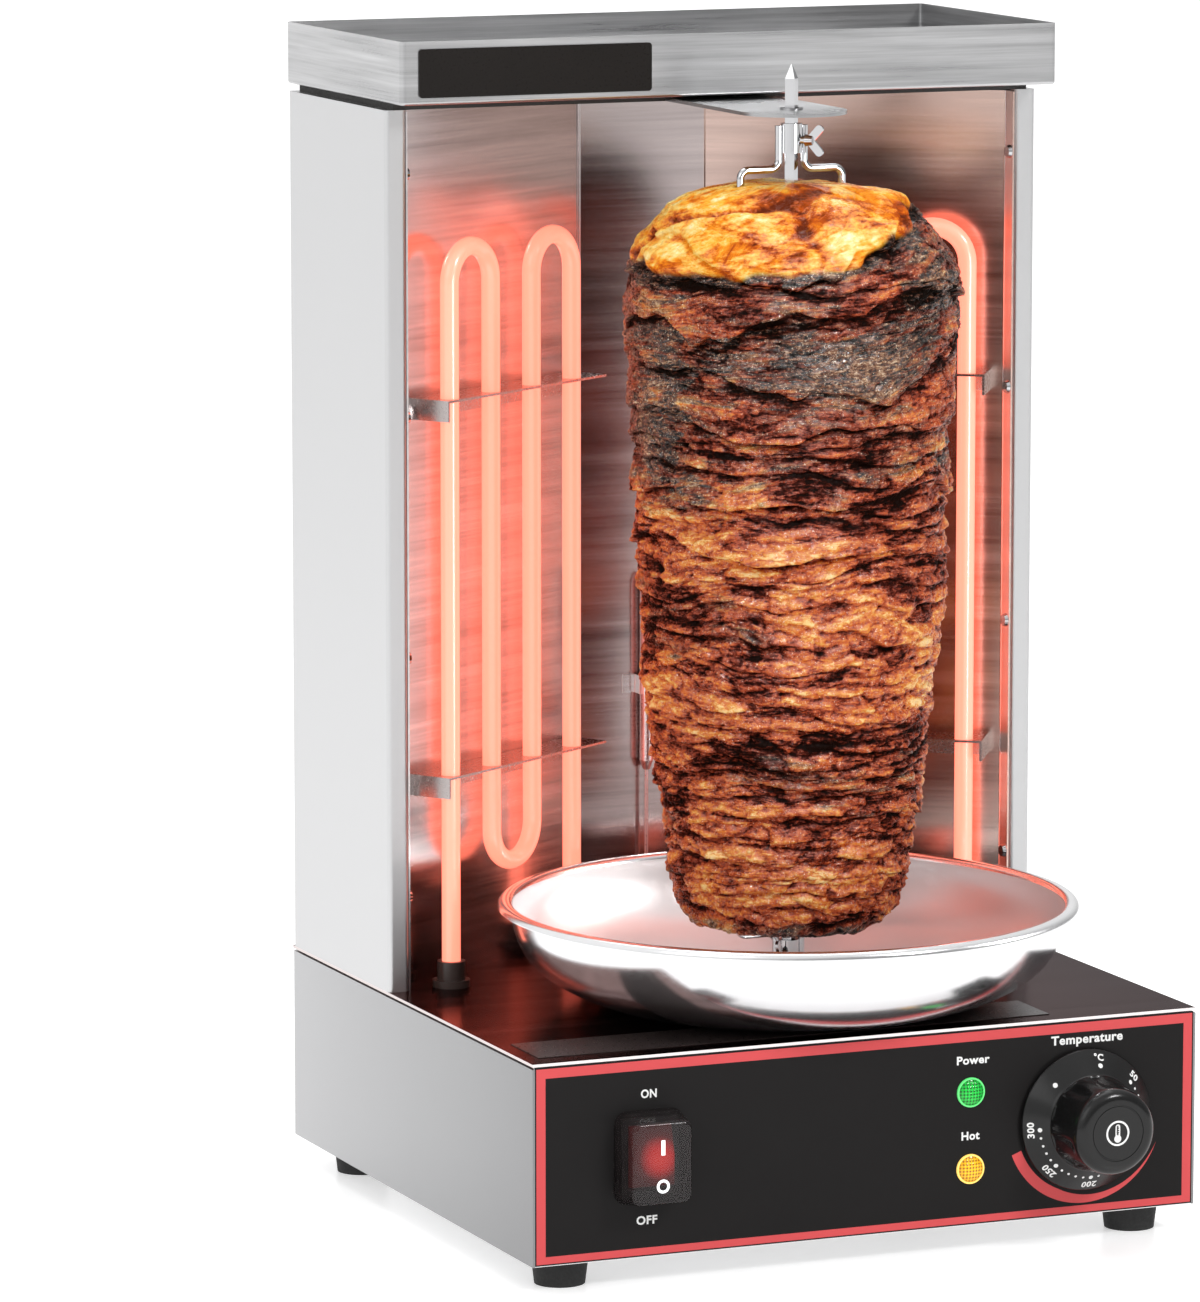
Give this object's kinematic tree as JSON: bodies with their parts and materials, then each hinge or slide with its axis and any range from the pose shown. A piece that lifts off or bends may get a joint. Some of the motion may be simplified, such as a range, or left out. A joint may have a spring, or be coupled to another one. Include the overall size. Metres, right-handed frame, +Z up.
{
  "type": "vertical rotisserie",
  "caption": "Countertop electric vertical rotisserie: turning spit with prong forks and stacked meat over a drip bowl, heater tubes behind, tray hood above.",
  "frame": {"origin": "floor under the middle of the object's box, feet on Z 0", "axes": "+Z up, -Y to the control panel, +Y to the back, +X to the right seen from the front"},
  "size_m": [0.301, 0.3291, 0.4986],
  "materials": {
    "steel_outer": "satin brushed stainless",
    "steel_inner": "brushed stainless, heat warmed",
    "steel_lid": "dark brushed stainless",
    "bright_steel": "polished stainless",
    "heater_tube": "glowing sheath",
    "ferrule_dark": "dark oxide",
    "film": "printed film, satin",
    "plate_black": "bare black plate",
    "knob_black": "glossy moulded",
    "switch_black": "moulded",
    "cover_clear": "smoked clear",
    "rocker_red": "lit red",
    "lens_green": "ribbed lens",
    "lens_amber": "ribbed lens",
    "rubber": "moulded",
    "board": "pressed insulation",
    "inner_metal": "zinc plated",
    "copper": "drawn",
    "bush": "turned",
    "nylon": "moulded nylon",
    "meat": "roast, layered"
  },
  "bodies": {
    "root": {"base_shell": "steel_outer", "base_lid": "steel_lid", "base_tray": "steel_outer", "rubber_feet": "rubber", "foot_screws": "inner_metal", "control_panel": "steel_outer", "panel_overlay": "film", "base_label": "plate_black", "cable_gland": "nylon", "gland_nut": "nylon", "terminal_block": "nylon", "left_wall": "steel_outer", "right_wall": "steel_outer", "wall_screws": "bright_steel", "back_panel": "steel_outer", "left_reflector": "steel_inner", "right_reflector": "steel_inner", "centre_reflector": "steel_inner", "hood_spacer": "board", "hood_tray": "steel_outer", "hood_badge": "plate_black", "spit_guide": "steel_outer", "guide_bush": "bright_steel", "guide_screws": "bright_steel", "left_heater": "heater_tube", "right_heater": "heater_tube", "heater_terminals": "inner_metal", "heater_ferrules": "ferrule_dark", "left_lower_clamp": "steel_inner", "left_upper_clamp": "steel_inner", "right_lower_clamp": "steel_inner", "right_upper_clamp": "steel_inner", "shaft_bush": "bush", "gear_motor": "inner_metal", "motor_bracket": "inner_metal", "thermostat_body": "nylon", "thermostat_bulb": "copper", "bulb_clip": "steel_inner", "capillary_tube": "copper", "power_lamp_lens": "lens_green", "hot_lamp_lens": "lens_amber", "lamp_bodies": "nylon", "switch_body": "switch_black", "switch_cover": "cover_clear"},
    "drive": {"drive_shaft": "inner_metal", "drive_socket": "bright_steel"},
    "spit": {"spit": "bright_steel", "meat_stack": "meat"},
    "top_fork": {"top_fork": "bright_steel"},
    "top_wing_screw": {"top_wing_screw": "bright_steel"},
    "bottom_fork": {"bottom_fork": "bright_steel"},
    "bottom_wing_screw": {"bottom_wing_screw": "bright_steel"},
    "drip_bowl": {"drip_bowl": "bright_steel"},
    "knob": {"control_knob": "knob_black", "thermostat_shaft": "inner_metal"},
    "rocker": {"switch_rocker": "rocker_red"}
  },
  "joints": [
    {"name": "spit_spin", "type": "hinge", "parent": "root", "child": "drive", "pos_m": [0, -0.04225, 0.096], "axis": [0, 0, 1], "continuous": true},
    {"name": "spit_lift", "type": "slide", "parent": "drive", "child": "spit", "axis": [0, 0, 1], "range_m": [0, 0.0038]},
    {"name": "top_fork_slide", "type": "slide", "parent": "spit", "child": "top_fork", "axis": [0, 0, -1], "range_m": [-0.0038, 0.0026]},
    {"name": "top_screw_turn", "type": "hinge", "parent": "top_fork", "child": "top_wing_screw", "pos_m": [0, -0.04225, 0.458], "axis": [0.7071, -0.7071, 0], "range_deg": [0, 180]},
    {"name": "bottom_fork_slide", "type": "slide", "parent": "spit", "child": "bottom_fork", "axis": [0, 0, 1], "range_m": [-0.004, 0]},
    {"name": "bottom_screw_turn", "type": "hinge", "parent": "bottom_fork", "child": "bottom_wing_screw", "pos_m": [0, -0.04225, 0.1166], "axis": [-0.7071, -0.7071, 0], "range_deg": [0, 180]},
    {"name": "bowl_lift", "type": "slide", "parent": "root", "child": "drip_bowl", "axis": [0, 0, 1], "range_m": [0, 0.005]},
    {"name": "knob_turn", "type": "hinge", "parent": "root", "child": "knob", "pos_m": [0.0985, -0.12445, 0.0528], "axis": [0, -1, 0], "range_deg": [-45, 266]},
    {"name": "rocker_tilt", "type": "hinge", "parent": "root", "child": "rocker", "pos_m": [-0.099, -0.12145, 0.054], "axis": [1, 0, 0], "range_deg": [0, 16]}
  ]
}
